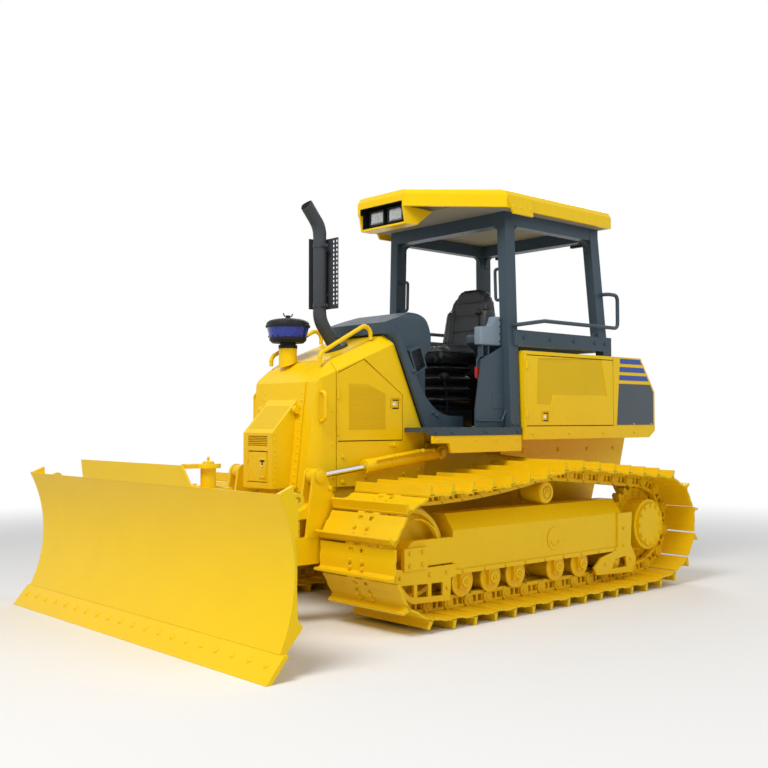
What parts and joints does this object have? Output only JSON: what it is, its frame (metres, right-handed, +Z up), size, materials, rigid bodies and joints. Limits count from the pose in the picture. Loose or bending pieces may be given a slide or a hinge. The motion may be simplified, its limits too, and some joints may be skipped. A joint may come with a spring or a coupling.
{
  "type": "crawler dozer",
  "caption": "Small crawler dozer with an open canopy, wide swamp shoes and a blade on a push frame that lifts, angles and tilts by hydraulic cylinders.",
  "frame": {"origin": "ground level under the middle of the machine's box", "axes": "+X forward to the blade, +Y to the machine's left, +Z up"},
  "size_m": [4.251, 2.764, 2.717],
  "materials": {
    "body_yellow": "gloss yellow enamel",
    "blade_yellow": "satin yellow enamel on plate",
    "track_yellow": "yellow paint on cast and rolled steel",
    "frame_grey": "dark blue-grey satin paint",
    "engine_grey": "painted castings",
    "exhaust_paint": "heat-proof dark paint",
    "bowl_blue": "tinted clear bowl",
    "trim_black": "moulded black",
    "bellows_rubber": "moulded rubber",
    "seat_vinyl": "grained black vinyl",
    "console_grey": "light grey moulding",
    "lining_grey": "pale lining",
    "rod_chrome": "polished hard chrome"
  },
  "bodies": {
    "tractor": {"main_frame": "body_yellow", "engine_block": "engine_grey", "track_frames": "body_yellow", "track_left": "track_yellow", "track_right": "track_yellow", "track_rollers": "body_yellow", "idlers": "body_yellow", "sprockets": "body_yellow", "nose_cowl": "body_yellow", "nose_guard": "body_yellow", "hood": "body_yellow", "side_panels": "body_yellow", "exhaust_stack": "exhaust_paint", "exhaust_shield": "exhaust_paint", "precleaner_stem": "body_yellow", "precleaner_bowl": "bowl_blue", "precleaner_cap": "trim_black", "hood_rails": "body_yellow", "dash_cowl": "frame_grey", "floor_deck": "frame_grey", "side_sills": "frame_grey", "rops_frame": "frame_grey", "canopy_roof": "body_yellow", "roof_lining": "lining_grey", "work_lamps": "trim_black", "post_rails": "frame_grey", "seat_suspension": "bellows_rubber", "seat_cushion": "seat_vinyl", "seat_back": "seat_vinyl", "consoles": "console_grey", "levers": "trim_black", "rear_body": "body_yellow", "rear_corners": "body_yellow", "drawbar": "body_yellow"},
    "push_frame": {"push_frame": "body_yellow"},
    "yoke": {"angle_yoke": "body_yellow"},
    "blade": {"blade": "blade_yellow", "cutting_edge": "blade_yellow", "blade_eyes": "blade_yellow"},
    "lift_barrel_left": {"lift_barrel_left": "body_yellow"},
    "lift_barrel_right": {"lift_barrel_right": "body_yellow"},
    "lift_rod_left": {"lift_rod_left": "rod_chrome"},
    "lift_rod_right": {"lift_rod_right": "rod_chrome"},
    "angle_barrel_left": {"angle_barrel_left": "body_yellow"},
    "angle_barrel_right": {"angle_barrel_right": "body_yellow"},
    "angle_rod_left": {"angle_rod_left": "rod_chrome"},
    "angle_rod_right": {"angle_rod_right": "rod_chrome"},
    "tilt_barrel": {"tilt_barrel": "body_yellow"},
    "tilt_rod": {"tilt_rod": "rod_chrome"},
    "engine_door_left": {"engine_door_left": "body_yellow"},
    "engine_door_right": {"engine_door_right": "body_yellow"},
    "rear_door_left": {"rear_door_left": "body_yellow"},
    "rear_door_right": {"rear_door_right": "body_yellow"},
    "rear_grille": {"rear_grille": "body_yellow"},
    "nose_door": {"nose_door": "body_yellow"}
  },
  "joints": [
    {"name": "blade_lift", "type": "hinge", "parent": "tractor", "child": "push_frame", "pos_m": [-0.0105, 0, 0.43], "axis": [0, 1, 0], "range_deg": [-23, 12]},
    {"name": "blade_angle", "type": "hinge", "parent": "push_frame", "child": "yoke", "pos_m": [1.7545, 0, 0.4225], "axis": [0, 0, 1], "range_deg": [-25, 25]},
    {"name": "blade_tilt", "type": "hinge", "parent": "yoke", "child": "blade", "pos_m": [1.7545, 0, 0.4225], "axis": [1, 0, 0], "range_deg": [-7, 7]},
    {"name": "lift_pivot_left", "type": "hinge", "parent": "tractor", "child": "lift_barrel_left", "pos_m": [0.0345, 0.385, 0.965], "axis": [0, 1, 0], "range_deg": [-25.34, 13.7]},
    {"name": "lift_stroke_left", "type": "slide", "parent": "lift_barrel_left", "child": "lift_rod_left", "axis": [0.9933, 0, -0.1157], "range_m": [-0.2177, 0.116]},
    {"name": "angle_pivot_left", "type": "hinge", "parent": "push_frame", "child": "angle_barrel_left", "pos_m": [1.2195, 0.385, 0.566], "axis": [0, 0, 1], "range_deg": [-3.61, 3.61]},
    {"name": "angle_stroke_left", "type": "slide", "parent": "angle_barrel_left", "child": "angle_rod_left", "axis": [0.9963, -0.0856, 0], "range_m": [-0.1503, 0.1503]},
    {"name": "lift_pivot_right", "type": "hinge", "parent": "tractor", "child": "lift_barrel_right", "pos_m": [0.0345, -0.385, 0.965], "axis": [0, 1, 0], "range_deg": [-25.34, 13.7]},
    {"name": "lift_stroke_right", "type": "slide", "parent": "lift_barrel_right", "child": "lift_rod_right", "axis": [0.9933, 0, -0.1157], "range_m": [-0.2177, 0.116]},
    {"name": "angle_pivot_right", "type": "hinge", "parent": "push_frame", "child": "angle_barrel_right", "pos_m": [1.2195, -0.385, 0.566], "axis": [0, 0, 1], "range_deg": [-3.61, 3.61]},
    {"name": "angle_stroke_right", "type": "slide", "parent": "angle_barrel_right", "child": "angle_rod_right", "axis": [0.9963, 0.0856, 0], "range_m": [-0.1503, 0.1503]},
    {"name": "tilt_pivot", "type": "hinge", "parent": "yoke", "child": "tilt_barrel", "pos_m": [1.8645, 0.07, 0.8], "axis": [1, 0, 0], "range_deg": [-8.58, 8.58]},
    {"name": "tilt_stroke", "type": "slide", "parent": "tilt_barrel", "child": "tilt_rod", "axis": [0, 0.9967, -0.0814], "range_m": [-0.0516, 0.0516]},
    {"name": "engine_door_left_hinge", "type": "hinge", "parent": "tractor", "child": "engine_door_left", "pos_m": [0.8325, 0.32, 1.25], "axis": [0, 0, -1], "range_deg": [0, 85]},
    {"name": "engine_door_right_hinge", "type": "hinge", "parent": "tractor", "child": "engine_door_right", "pos_m": [0.8325, -0.32, 1.25], "axis": [0, 0, 1], "range_deg": [0, 85]},
    {"name": "rear_door_left_hinge", "type": "hinge", "parent": "tractor", "child": "rear_door_left", "pos_m": [-0.5608, 0.635, 1.37], "axis": [0, 0, -1], "range_deg": [0, 85]},
    {"name": "rear_door_right_hinge", "type": "hinge", "parent": "tractor", "child": "rear_door_right", "pos_m": [-0.5608, -0.635, 1.37], "axis": [0, 0, 1], "range_deg": [0, 85]},
    {"name": "rear_grille_hinge", "type": "hinge", "parent": "tractor", "child": "rear_grille", "pos_m": [-1.9105, 0, 1.645], "axis": [0, 1, 0], "range_deg": [0, 75]},
    {"name": "nose_door_hinge", "type": "hinge", "parent": "tractor", "child": "nose_door", "pos_m": [1.2005, -0.0997, 0.895], "axis": [0, 0, -1], "range_deg": [0, 95]}
  ],
  "couplings": [
    {"joint": "lift_pivot_left", "follows": "blade_lift", "ratio": 1.0585},
    {"joint": "lift_stroke_left", "follows": "blade_lift", "m_per_rad": 0.5298},
    {"joint": "angle_pivot_left", "follows": "blade_angle", "ratio": 0.10437},
    {"joint": "angle_stroke_left", "follows": "blade_angle", "m_per_rad": -0.33307},
    {"joint": "lift_pivot_right", "follows": "blade_lift", "ratio": 1.0585},
    {"joint": "lift_stroke_right", "follows": "blade_lift", "m_per_rad": 0.5298},
    {"joint": "angle_pivot_right", "follows": "blade_angle", "ratio": 0.10437},
    {"joint": "angle_stroke_right", "follows": "blade_angle", "m_per_rad": 0.33307},
    {"joint": "tilt_pivot", "follows": "blade_tilt", "ratio": 1.0828},
    {"joint": "tilt_stroke", "follows": "blade_tilt", "m_per_rad": -0.38113}
  ]
}
